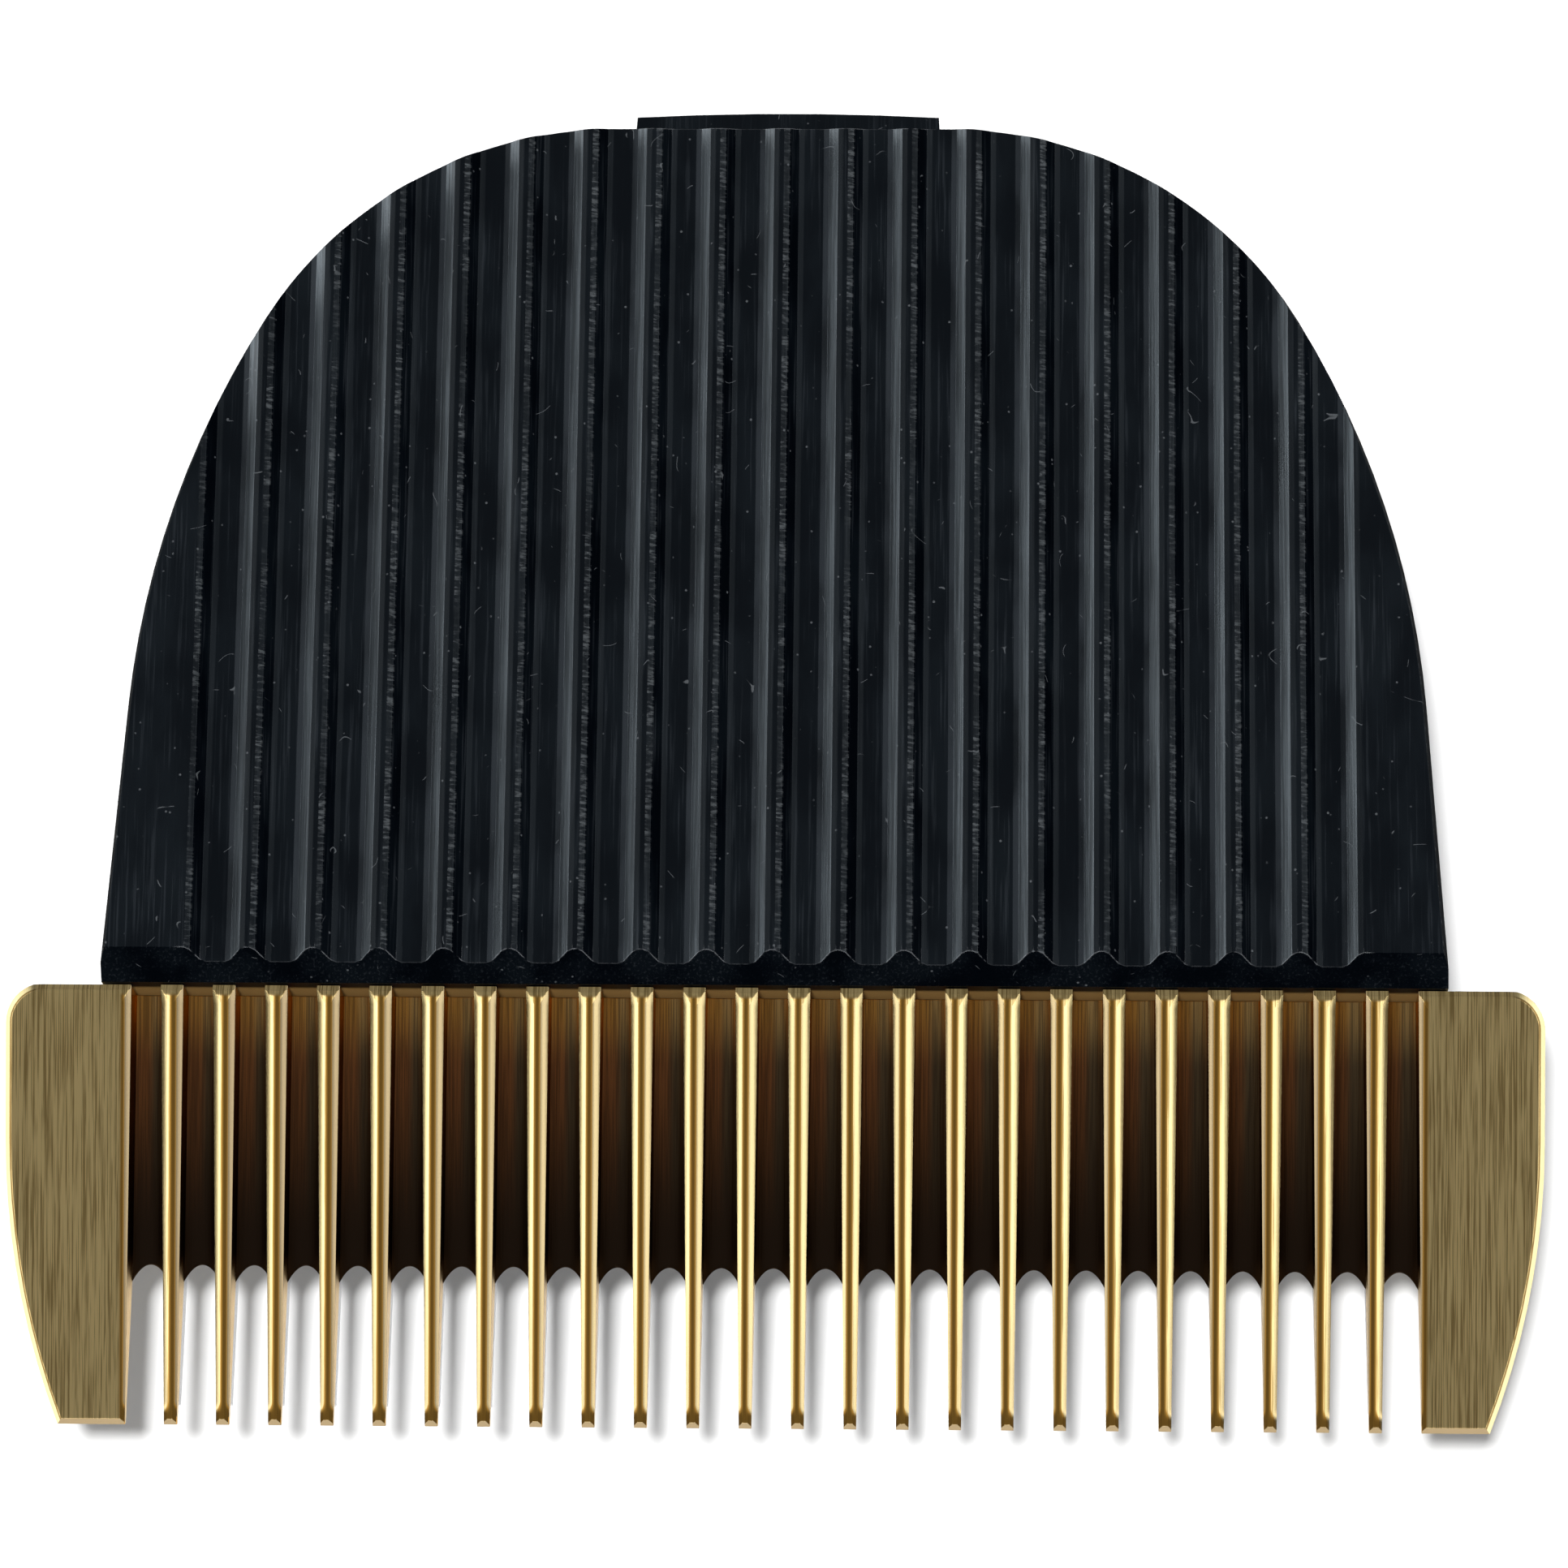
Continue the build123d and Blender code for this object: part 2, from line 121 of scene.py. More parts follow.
# %% Node helpers
def node(tree, kind, inputs=None, **settings):
    """Adds a shader node, sets its properties, and links or sets each named or numbered input."""
    made = tree.nodes.new("ShaderNode" + kind)
    for name, value in settings.items():
        setattr(made, name, value)
    for key, value in (inputs or {}).items():
        if isinstance(value, bpy.types.NodeSocket):
            tree.links.new(value, made.inputs[key])
        else:
            made.inputs[key].default_value = value
    return made


def math(tree, operation, a, b=0.0, c=0.0):
    """One Math node's output: an operation on sockets or numbers."""
    return node(tree, "Math", {0: a, 1: b, 2: c}, operation=operation).outputs[0]


def ramp(tree, value, start, end):
    """A smooth step: 0 where value is at start or before, 1 where it is at end or past it."""
    inputs = {"Value": value, "From Min": start, "From Max": end}
    made = node(tree, "MapRange", inputs, interpolation_type="SMOOTHSTEP", clamp=True)
    return made.outputs["Result"]


def mix(tree, factor, a, b):
    """A colour between a and b."""
    return node(tree, "Mix", {"Factor": factor, 6: a, 7: b}, data_type="RGBA").outputs[2]


print("helpers:", [helper.__name__ for helper in (node, math, ramp, mix)])

# %% [markdown]
# Polished and ground metal looks like what stands round it. The room is therefore pale at the left and
# right, and darker overhead, in front and behind: faces that look up turn olive and bevels that look
# sideways shine. A picture of a studio could be wrapped round the block instead, but three shades that
# follow the direction are enough, and each can be turned up or down alone. The camera sees plain white,
# and the Standard view transform shows every shade as it is.

# %% Room
SIDE_WALL = (1.15, 1.15, 1.15, 1.0)
END_WALL = (0.12, 0.12, 0.125, 1.0)
OVERHEAD = (0.20, 0.20, 0.205, 1.0)
WHITE = (1.0, 1.0, 1.0, 1.0)

world = bpy.data.worlds.new("studio")
bpy.context.scene.world = world
world.use_nodes = True
tree = world.node_tree
tree.nodes.clear()
heading = node(tree, "SeparateXYZ", {0: node(tree, "TexCoord").outputs["Generated"]})
sideways = math(tree, "ABSOLUTE", heading.outputs["X"])
walls = mix(tree, ramp(tree, sideways, 0.3, 0.8), END_WALL, SIDE_WALL)
room = mix(tree, ramp(tree, heading.outputs["Z"], 0.35, 0.88), walls, OVERHEAD)
camera_ray = node(tree, "LightPath").outputs["Is Camera Ray"]
sky = node(tree, "Background", {"Color": mix(tree, camera_ray, room, WHITE)})
node(tree, "OutputWorld", {"Surface": sky.outputs[0]})
bpy.context.scene.view_settings.view_transform = "Standard"
print("room:", len(tree.nodes), "nodes")

# %% [markdown]
# A low softbox on each side lights the flanks of the ribs, the left one a little more strongly. The
# shadow in the photograph is narrow and falls to the lower right. A big lamp would blur it, so a small
# one hangs near the camera, to its upper left. Gloss doesn't show that lamp, because it would put a
# bright dot on every tooth.

# %% Lamps
SOFTBOX_ASIDE = 0.48
SOFTBOX_REAR = 0.03
SOFTBOX_HEIGHT = 0.13
SOFTBOX_SIZE = (0.5, 0.15)
LEFT_RADIANCE = 1.6
RIGHT_RADIANCE = 1.3
LAMP_DISTANCE = 0.5
LAMP_LEFT = 0.045
LAMP_REAR = 0.125
LAMP_SIZE = (0.05, 0.05)
LAMP_RADIANCE = 560.0


def softbox(name, place, size, radiance, gloss=True):
    """A rectangular lamp at place, facing the block; radiance is its brightness as a white card."""
    lamp = bpy.data.lights.new(name, "AREA")
    lamp.shape = "RECTANGLE"
    lamp.size, lamp.size_y = size
    lamp.energy = radiance * pi * size[0] * size[1]
    holder = bpy.data.objects.new(name, lamp)
    holder.location = place
    holder.rotation_euler = (-Vector(place)).to_track_quat("-Z", "Y").to_euler()
    holder.visible_camera = False
    holder.visible_glossy = gloss
    bpy.context.scene.collection.objects.link(holder)


softbox("left_softbox", (-SOFTBOX_ASIDE, SOFTBOX_REAR, SOFTBOX_HEIGHT), SOFTBOX_SIZE, LEFT_RADIANCE)
softbox("right_softbox", (SOFTBOX_ASIDE, SOFTBOX_REAR, SOFTBOX_HEIGHT), SOFTBOX_SIZE, RIGHT_RADIANCE)
beside_camera = skin_out + LAMP_LEFT * Vector((-1, 0, 0)) + LAMP_REAR * skin_up
softbox("shadow_lamp", LAMP_DISTANCE * beside_camera, LAMP_SIZE, LAMP_RADIANCE, gloss=False)

# %% [markdown]
# The block lies on a sheet of pale paper. Paper lit like this would come out a shade too grey, and more
# light would bleach the gold as well, so the paper has a faint glow of its own. Only rays that show the
# paper see the glow, straight to the camera or in gloss, and the light it throws back stays as it is.

# %% Floor
FLOOR_SIZE = 3.0
FLOOR_COLOUR = (0.60, 0.60, 0.60, 1.0)
FLOOR_GLOW = 0.06


def shown_ray(tree):
    """1 for rays that show a surface as such: straight to the camera, by gloss or through glass."""
    path = node(tree, "LightPath")
    seen = math(tree, "MAXIMUM", path.outputs["Is Camera Ray"], path.outputs["Is Glossy Ray"])
    return math(tree, "MAXIMUM", seen, path.outputs["Is Transmission Ray"])


floor_mesh = bpy.data.meshes.new("floor")
half = FLOOR_SIZE / 2
floor_corners = [(-half, -half, 0), (half, -half, 0), (half, half, 0), (-half, half, 0)]
floor_mesh.from_pydata(floor_corners, [], [(0, 1, 2, 3)])
floor = bpy.data.objects.new("floor", floor_mesh)
bpy.context.scene.collection.objects.link(floor)
paper = bpy.data.materials.new("floor_paper")
paper.use_nodes = True
tree = paper.node_tree
tree.nodes.clear()
matt = node(tree, "BsdfDiffuse", {"Color": FLOOR_COLOUR})
glow = node(tree, "Emission", {"Strength": math(tree, "MULTIPLY", shown_ray(tree), FLOOR_GLOW)})
lit = node(tree, "AddShader", {0: matt.outputs[0], 1: glow.outputs[0]})
node(tree, "OutputMaterial", {"Surface": lit.outputs[0]})
floor_mesh.materials.append(paper)
print("floor:", FLOOR_SIZE, "m wide")

# %% [markdown]
# The finishes share some steps: a material with one shader, the three parts of a place or a direction,
# a noise of a given size in metres, the product of several masks, a fine relief and an edge that looks
# rounded. Patterns could be painted as images, but a noise worked out from the place on the block has
# no seams and stays where it is from every side.

# %% Finish helpers
def new_finish(name):
    """A material with an empty node tree and a Principled shader; returns material, tree and shader."""
    finish = bpy.data.materials.new(name)
    finish.use_nodes = True
    tree = finish.node_tree
    tree.nodes.clear()
    shader = node(tree, "BsdfPrincipled")
    node(tree, "OutputMaterial", {"Surface": shader.outputs[0]})
    return finish, tree, shader


def parts(tree, kind):
    """The X, Y and Z parts of the place on the block (Object) or of the true normal (Normal)."""
    return node(tree, "SeparateXYZ", {0: node(tree, "TexCoord").outputs[kind]}).outputs


def stretched(tree, scale):
    """Object coordinates divided by the sizes in scale, so that a pattern has that size in metres."""
    place = node(tree, "TexCoord").outputs["Object"]
    return node(tree, "Mapping", {"Vector": place, "Scale": [1 / s for s in scale]}).outputs[0]


def noise(tree, scale, detail=2.0, rough=0.5):
    """Soft noise whose grains have the three sizes in scale, in metres."""
    inputs = {"Vector": stretched(tree, scale), "Scale": 1.0, "Detail": detail, "Roughness": rough}
    return node(tree, "TexNoise", inputs).outputs[0]


def both(tree, *masks):
    """The product of several masks: 1 only where all of them are 1."""
    product = masks[0]
    for mask in masks[1:]:
        product = math(tree, "MULTIPLY", product, mask)
    return product


def bump(tree, height, distance, strength=1.0, normal=None):
    """A bumped normal from a height between 0 and 1 that stands for distance metres."""
    inputs = {"Height": height, "Distance": distance, "Strength": strength}
    if normal:
        inputs["Normal"] = normal
    return node(tree, "Bump", inputs).outputs[0]


def rounded(tree, radius):
    """The normal as if every edge were rounded by radius."""
    return node(tree, "Bevel", {"Radius": radius}, samples=6).outputs[0]


def dot(tree, a, b):
    """The dot product of two vectors."""
    return node(tree, "VectorMath", {0: a, 1: b}, operation="DOT_PRODUCT").outputs["Value"]


def dress(name, finish):
    """Gives a solid of the frame its finish."""
    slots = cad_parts[name].data.materials
    slots.clear()
    slots.append(finish)
    print(name, "->", finish.name)


print("helpers:", [h.__name__ for h in (new_finish, parts, noise, both, bump, rounded, dot, dress)])

# %% [markdown]
# The right-hand edges of the ribs catch the light in short grey dashes, and a faint line of light runs
# where the flanks meet the floors. Both are painted highlights here; they could be painted on by hand. The
# depth below the pad and the way a face looks find the places, so the marks stay on the ribs whatever
# their number.

# %% Painted rib highlights
def rib_highlights(tree, depth, facing):
    """Masks of painted highlights: on right-hand rib edges and in floor corners, by depth and direction."""
    crest = ramp(tree, depth, 0.13 * MM, 0.07 * MM)
    rightward = ramp(tree, facing["X"], 0.15, 0.3)
    pearls = ramp(tree, noise(tree, (0.4 * MM, 0.10 * MM, 0.4 * MM), 3.0, 0.6), 0.45, 0.70)
    stretches = ramp(tree, noise(tree, (0.8 * MM, 2.2 * MM, 0.8 * MM), 2.0), 0.30, 0.60)
    crest_glints = both(tree, crest, rightward, pearls, stretches)
    low = ramp(tree, depth, RIB_DEPTH - 0.12 * MM, RIB_DEPTH - 0.05 * MM)
    above_floor = ramp(tree, depth, RIB_DEPTH + 0.04 * MM, RIB_DEPTH + 0.01 * MM)
    sloped = ramp(tree, facing["Z"], 0.985, 0.90)
    leftward = math(tree, "MULTIPLY_ADD", ramp(tree, facing["X"], 0.1, -0.1), 0.8, 0.2)
    beside = ramp(tree, facing["Y"], -0.4, -0.2)
    return crest_glints, both(tree, low, above_floor, sloped, leftward, beside)


# The painted rib highlights reach down to this depth below the pad.
print("wear down to", round(RIB_DEPTH / MM, 2), "mm below the pad")

# %% [markdown]
# Specks of dust and short fibres lie on the moulding. They could be hundreds of tiny meshes, but they
# are flat to the eye. A cell pattern gives the specks, and a fibre is the thin line along which a soft
# noise passes one half. A second noise lets only a few of each through.

# %% Dust and fibres
SPECK_SIZE = 0.30 * MM
FIBRE_SIZE = 0.9 * MM


def lint(tree):
    """Mask of dust specks, and of short fibres: the thin lines where a soft noise passes one half."""
    spots = node(tree, "TexVoronoi", {"Vector": stretched(tree, (SPECK_SIZE,) * 3), "Scale": 1.0})
    few = ramp(tree, noise(tree, (0.42 * MM,) * 3, 1.0), 0.58, 0.66)
    specks = both(tree, ramp(tree, spots.outputs["Distance"], 0.17, 0.07), few)
    curl = math(tree, "ABSOLUTE", math(tree, "SUBTRACT", noise(tree, (FIBRE_SIZE,) * 3, 0.0), 0.5))
    here = ramp(tree, noise(tree, (0.6 * MM,) * 3, 1.0), 0.655, 0.70)
    fibres = both(tree, ramp(tree, curl, 0.009, 0.003), here)
    return math(tree, "MAXIMUM", specks, fibres)


print("specks and fibres in mm:", round(SPECK_SIZE / MM, 2), round(FIBRE_SIZE / MM, 2))

# %% [markdown]
# The front ends of the ribs and the rear edge at the hook catch the light as thin pale lines, painted here
# as highlights. Real roundings would cost many faces. A Bevel node rounds the normal near an edge, so where
# the rounded normal departs from the true one, there is an edge on which to paint the highlight.

# %% Painted edge highlights
def edge_glints(tree, depth, place, soft_normal):
    """Mask of painted edge highlights: the ribs' front ends, and the rear edge at the hook."""
    true_normal = node(tree, "TexCoord").outputs["Normal"]
    edge = ramp(tree, dot(tree, soft_normal, true_normal), 0.995, 0.94)
    front = ramp(tree, place["Y"], seam_y + 1.1 * MM, seam_y + 1.0 * MM)
    rear = ramp(tree, place["Y"], rear_y - 0.25 * MM, rear_y - 0.2 * MM)
    aside = math(tree, "ABSOLUTE", place["X"])
    at_hook = ramp(tree, aside, HOOK_WIDTH / 2, HOOK_WIDTH / 2 - 0.1 * MM)
    on_ribs = ramp(tree, aside, RIBS_WIDTH / 2 + 0.3 * MM, RIBS_WIDTH / 2)
    steep = ramp(tree, depth, RIB_DEPTH - 0.02 * MM, RIB_DEPTH - 0.1 * MM)
    upper = math(tree, "MULTIPLY_ADD", steep, 0.75, 0.25)
    upper = both(tree, upper, ramp(tree, depth, RIB_DEPTH + 0.05 * MM, RIB_DEPTH))
    ends = math(tree, "MAXIMUM", both(tree, front, on_ribs), both(tree, rear, at_hook))
    broken = ramp(tree, noise(tree, (0.25 * MM,) * 3, 2.0), 0.32, 0.55)
    return both(tree, edge, ends, upper, broken)


print("pale edges at y in mm:", round(seam_y / MM, 2), round(rear_y / MM, 2))

# %% [markdown]
# Between the teeth the brown of the grooves reaches right up to the seam. A narrow strip of the
# moulding's upright front wall stands behind each groove there, in shade. A slip of metal could be laid in
# front of it, but the camera sees the wall almost edge on, so the groove's brown is painted over the wall's
# shade.

# %% Wall behind the grooves
BROWN_FROM = 0.55 * MM
BROWN_FULL = 0.95 * MM
BROWN_DOWN_TO = 2.0 * MM


def brown_over_shade(tree, place, facing):
    """Mask of the upright front wall behind the grooves, seam to floors, painted groove brown over shade.
    """
    below_seam = ramp(tree, place["Z"], seam.z - BROWN_FROM, seam.z - BROWN_FULL)
    above_floor = ramp(tree, place["Z"], seam.z - BROWN_DOWN_TO, seam.z - BROWN_DOWN_TO + 0.1 * MM)
    not_behind = ramp(tree, place["Y"], seam_y + 0.15 * MM, seam_y + 0.10 * MM)
    not_before = ramp(tree, place["Y"], seam_y - 0.05 * MM, seam_y)
    at_teeth = ramp(tree, math(tree, "ABSOLUTE", place["X"]), teeth_half + 0.1 * MM, teeth_half)
    upright = ramp(tree, facing["Y"], -0.8, -0.9)
    return both(tree, upright, below_seam, above_floor, not_behind, not_before, at_teeth)


# How far below the seam the groove brown is painted over the wall's shade.
print("stain below the seam in mm:", round(BROWN_FROM / MM, 2), "to", round(BROWN_DOWN_TO / MM, 2))

# %% [markdown]
# On the real moulding the left flanks of the ribs shine, and the front face, the rim and the right
# flanks look matt. A rougher surface would only spread the shine. A refractive index close to that of
# air takes it away, so the matt faces get that, and the milled lines break up the gloss of the others.

# %% Gloss of the moulding
PLASTIC_IOR = 1.68
MATT_IOR = 1.03
PLAIN_GLOSS = 0.18
FLANK_GLOSS = 1.0


def moulding_gloss(tree, facing, milled):
    """The refractive index, low on matt faces, and the gloss level, high on the left flanks."""
    front = ramp(tree, facing["Y"], -0.6, -0.75)
    rim = both(tree, ramp(tree, facing["Z"], 0.12, 0.2), ramp(tree, facing["Z"], 0.5, 0.4))
    right_flank = ramp(tree, facing["X"], 0.5, 0.65)
    matt = math(tree, "MAXIMUM", front, math(tree, "MAXIMUM", rim, right_flank))
    matt = both(tree, matt, ramp(tree, facing["Z"], 0.12, 0.2))
    index = math(tree, "MULTIPLY_ADD", matt, MATT_IOR - PLASTIC_IOR, PLASTIC_IOR)
    flank = both(tree, ramp(tree, facing["X"], -0.5, -0.65), ramp(tree, facing["Z"], 0.5, 0.6))
    flank = both(tree, flank, math(tree, "MULTIPLY_ADD", ramp(tree, milled, 0.35, 0.65), 0.75, 0.62))
    gloss = math(tree, "MULTIPLY_ADD", flank, FLANK_GLOSS - PLAIN_GLOSS, PLAIN_GLOSS)
    return index, gloss


print("gloss:", PLAIN_GLOSS, "and", FLANK_GLOSS, "on the left flanks")

# %% [markdown]
# The moulding is black plastic with a hint of blue. Its tool was milled along the ribs, so fine lines run
# that way over floors and flanks, and a slow mottle makes some stretches paler. One colour would look like
# a drawing, so the colour starts dark and takes each mark of the last cells in turn, the painted highlights
# and the brown painted over shade among them.

# %% Black moulding
PLASTIC_DARK = (0.0004, 0.0008, 0.0015, 1.0)
PLASTIC_PALE = (0.0017, 0.0026, 0.0037, 1.0)
STREAK_AND_GLINT = (0.0095, 0.0115, 0.0140, 1.0)
CREST_GLINT = (0.036, 0.040, 0.043, 1.0)
EDGE_GLINT = (0.075, 0.080, 0.085, 1.0)
DUST = (0.075, 0.082, 0.088, 1.0)
GROOVE_BROWN_ON_SHADE = (0.50, 0.31, 0.11, 1.0)
SHEEN = (0.78, 0.91, 1.0, 1.0)
SOFT_EDGE = 0.05 * MM


def black_moulding():
    """Black plastic: milled lines along ribs, painted highlights, brown over shade, dust, fibres, fine
    grain.
    """
    finish, tree, shader = new_finish("black_moulding")
    place, facing = parts(tree, "Object"), parts(tree, "Normal")
    depth = math(tree, "SUBTRACT", pad_z, place["Z"])
    milled = noise(tree, (0.09 * MM, 4 * MM, 0.09 * MM), 3.0, 0.6)
    mottle = noise(tree, (1.4 * MM, 3.5 * MM, 1.4 * MM), 3.0)
    grain = noise(tree, (0.05 * MM,) * 3, 2.0)
    colour = mix(tree, ramp(tree, mottle, 0.35, 0.7), PLASTIC_DARK, PLASTIC_PALE)
    streaks = both(tree, ramp(tree, milled, 0.52, 0.70), ramp(tree, mottle, 0.30, 0.65))
    colour = mix(tree, math(tree, "MULTIPLY", streaks, 0.75), colour, STREAK_AND_GLINT)
    crest_glints, corners = rib_highlights(tree, depth, facing)
    # Painted highlight: a faint line of light where the left flanks meet the floors, in the streak colour.
    colour = mix(tree, both(tree, corners, ramp(tree, mottle, 0.3, 0.6)), colour, STREAK_AND_GLINT)
    # Painted highlight: grey dashes where the right-hand rib edges catch the light.
    colour = mix(tree, crest_glints, colour, CREST_GLINT)
    soft_normal = rounded(tree, SOFT_EDGE)
    # Painted highlight on the edges that caught the light.
    colour = mix(tree, edge_glints(tree, depth, place, soft_normal), colour, EDGE_GLINT)
    upward = ramp(tree, facing["Z"], 0.3, 0.6)
    colour = mix(tree, both(tree, lint(tree), upward, 0.55), colour, DUST)
    # Painted over shade: the groove's brown on the upright wall behind the grooves.
    colour = mix(tree, brown_over_shade(tree, place, facing), colour, GROOVE_BROWN_ON_SHADE)
    tree.links.new(colour, shader.inputs["Base Color"])
    tree.links.new(math(tree, "MULTIPLY_ADD", mottle, 0.25, 0.30), shader.inputs["Roughness"])
    relief = math(tree, "MULTIPLY_ADD", milled, 0.6, math(tree, "MULTIPLY", grain, 0.5))
    tree.links.new(bump(tree, relief, 0.012 * MM, 0.6, soft_normal), shader.inputs["Normal"])
    index, gloss = moulding_gloss(tree, facing, milled)
    tree.links.new(index, shader.inputs["IOR"])
    tree.links.new(gloss, shader.inputs["Specular IOR Level"])
    shader.inputs["Specular Tint"].default_value = SHEEN
    return finish


dress("blade_body", black_moulding())

# %% [markdown]
# Each tooth of the comb is rounded along its length. Its crest mirrors the dark room overhead as a thin
# dark line, and the gold is painted darker along it as well, a painted dark reflection. Rounding 24 teeth
# in the solid would cost many faces. Instead the normal is worked out from the distance to the crest line,
# as the slope of a rounded ridge, and the light then runs over it as over a round one.

# %% Tooth crests
CREST_WIDTH = 0.12 * MM
CREST_LEAN = 0.70
EDGE_LEAN = 0.75 / MM
CREST_LEFT = 0.02 * MM
CREST_INWARD = 0.004


def along(tree, direction, origin):
    """Distance of the place on the surface from origin, measured along direction."""
    place = node(tree, "TexCoord").outputs["Object"]
    arm = node(tree, "VectorMath", {0: place, 1: origin}, operation="SUBTRACT").outputs[0]
    return dot(tree, arm, direction)


def tooth_crest(tree, x):
    """Distance to the right of a tooth's crest; the crests lie a little inward of the middle lines."""
    half = TOOTH_PITCH / 2
    middle = math(tree, "WRAP", math(tree, "ADD", x, half), half, -half)
    return math(tree, "ADD", math(tree, "MULTIPLY_ADD", x, CREST_INWARD, CREST_LEFT), middle)


def crest_normal(tree, aside):
    """Normal of a rounded tooth: its slope is a steep tanh about the crest and a gentle line beyond."""
    turn = math(tree, "TANH", math(tree, "DIVIDE", aside, CREST_WIDTH))
    lean = math(tree, "MULTIPLY_ADD", turn, CREST_LEAN, math(tree, "MULTIPLY", aside, EDGE_LEAN))
    arm = node(tree, "CombineXYZ", {0: lean, 1: skin_out.y, 2: skin_out.z}).outputs[0]
    return node(tree, "VectorMath", {0: arm}, operation="NORMALIZE").outputs[0]


print("crest in mm:", round(CREST_WIDTH / MM, 2))

# %% [markdown]
# The bevels of the teeth and the rims of the lugs were polished after grinding. A tooth catches the light
# on the side that looks away from the comb's middle; on the other side and towards its tip its highlight is
# toned down with painted shade. The bevel at its rear end keeps the ground look, and the deep sides of the
# lugs are a flatter gold. The lug rims get a brighter gold as a painted highlight, with a thin painted dark
# line where they leave the face. One gold for all would lose the lines that part them.

# %% Bevels and rims
RIM_GOLD_AND_GLINT = (1.0, 0.84, 0.44, 1.0)
RIM_LINE = (0.26, 0.16, 0.055, 1.0)
POLISHED_GOLD = (0.74, 0.60, 0.30, 1.0)
DULL_GOLD = (0.40, 0.30, 0.17, 1.0)
SHADED_BEVEL = (0.29, 0.22, 0.125, 1.0)
SIDE_GOLD = (0.40, 0.30, 0.145, 1.0)


def shaded_bevels(tree, x, run, aside):
    """Mask of painted shade on the bevels: left ones more to the right, right ones more to the left, the
    tips.
    """
    # Painted shade: the bevel highlights fade on the side towards the middle and towards the tips.
    right_side = ramp(tree, aside, -0.02 * MM, 0.02 * MM)
    left_side = math(tree, "SUBTRACT", 1.0, right_side)
    shaded_left = both(tree, left_side, ramp(tree, x, -12 * MM, 18 * MM))
    shaded_right = both(tree, right_side, ramp(tree, x, 12 * MM, -18 * MM))
    to_tip = both(tree, ramp(tree, run, 6.0 * MM, 13.0 * MM), 0.55)
    return math(tree, "MAXIMUM", math(tree, "ADD", shaded_left, shaded_right), to_tip)


def bevel_gold(tree, x, depth, forward, tooth, shaded):
    """Gold of bevels: lug rims painted brighter, teeth polished or in painted shade, duller looking
    forward.
    """
    inner = ramp(tree, math(tree, "ABSOLUTE", x), teeth_half + 0.4 * MM, teeth_half + 0.3 * MM)
    # Lug rims: polished gold brightened as a painted highlight, and a thin dark line of painted reflection.
    rim = mix(tree, inner, RIM_GOLD_AND_GLINT, SHADED_BEVEL)
    rim = mix(tree, ramp(tree, depth, 0.075 * MM, 0.045 * MM), rim, RIM_LINE)
    bevel = mix(tree, tooth, rim, mix(tree, shaded, POLISHED_GOLD, SHADED_BEVEL))
    return mix(tree, ramp(tree, forward, 0.45, 0.65), bevel, DULL_GOLD)


print("golds:", [RIM_GOLD_AND_GLINT[:3], POLISHED_GOLD[:3], SHADED_BEVEL[:3]])

# %% [markdown]
# Deep in the grooves the coating is thin and brown, and its colour carries painted shade as well: light at
# the rear end, almost black at the front, reddish on the side that looks right and olive on the other. A
# plain shadow would be grey, so the colour is mixed from the run along the groove and the way the wall
# looks. Where the groove is open below, its walls see the paper, and that light is painted on as olive.

# %% Grooves
REAR_RED = (0.80, 0.39, 0.085, 1.0)
REAR_OLIVE = (0.80, 0.50, 0.18, 1.0)
GROOVE_RED = (0.45, 0.17, 0.055, 1.0)
GROOVE_GREY = (0.22, 0.15, 0.075, 1.0)
GROOVE_SHADE_AND_LINES = (0.050, 0.030, 0.018, 1.0)
OPEN_WALL_LIGHT = (0.55, 0.42, 0.24, 1.0)
REAR_END = 2.6 * MM
DARK_FROM = 8.0 * MM
OPEN_FROM = 8.4 * MM


def groove_brown(tree, run, facing, sideways, streaks):
    """Brown coating with painted shade by the run from the seam and the wall's side; painted light where
    open.
    """
    rightward = ramp(tree, facing["X"], -0.12, 0.12)
    tint = mix(tree, rightward, GROOVE_GREY, GROOVE_RED)
    rear_tint = mix(tree, rightward, REAR_OLIVE, REAR_RED)
    # Painted shade: the brown darkens towards the front of the grooves.
    groove = mix(tree, ramp(tree, run, 0.5 * MM, DARK_FROM), tint, GROOVE_SHADE_AND_LINES)
    groove = mix(tree, ramp(tree, run, 0.3 * MM, REAR_END), rear_tint, groove)
    groove = mix(tree, both(tree, ramp(tree, streaks, 0.62, 0.38), 0.5), groove, GROOVE_SHADE_AND_LINES)
    # Painted light: the walls that see the paper below the open groove turn olive.
    past_floor = ramp(tree, run, OPEN_FROM, OPEN_FROM + 0.4 * MM)
    lit_open_wall = both(tree, past_floor, ramp(tree, sideways, 0.6, 0.85))
    return mix(tree, lit_open_wall, groove, OPEN_WALL_LIGHT)


print("grooves open from", round(OPEN_FROM / MM, 1), "mm in front of the seam")

# %% [markdown]
# The normal of the comb has three forms. The teeth take the rounded crest, levelled at the tips, which
# were cut off square and look dark. The bevels at their rear ends lie flat in the light like the skin
# face. All other edges are rounded a little. Two Mix nodes choose between them by mask.

# %% Normal of the comb
ROUNDED_EDGE = 0.035 * MM


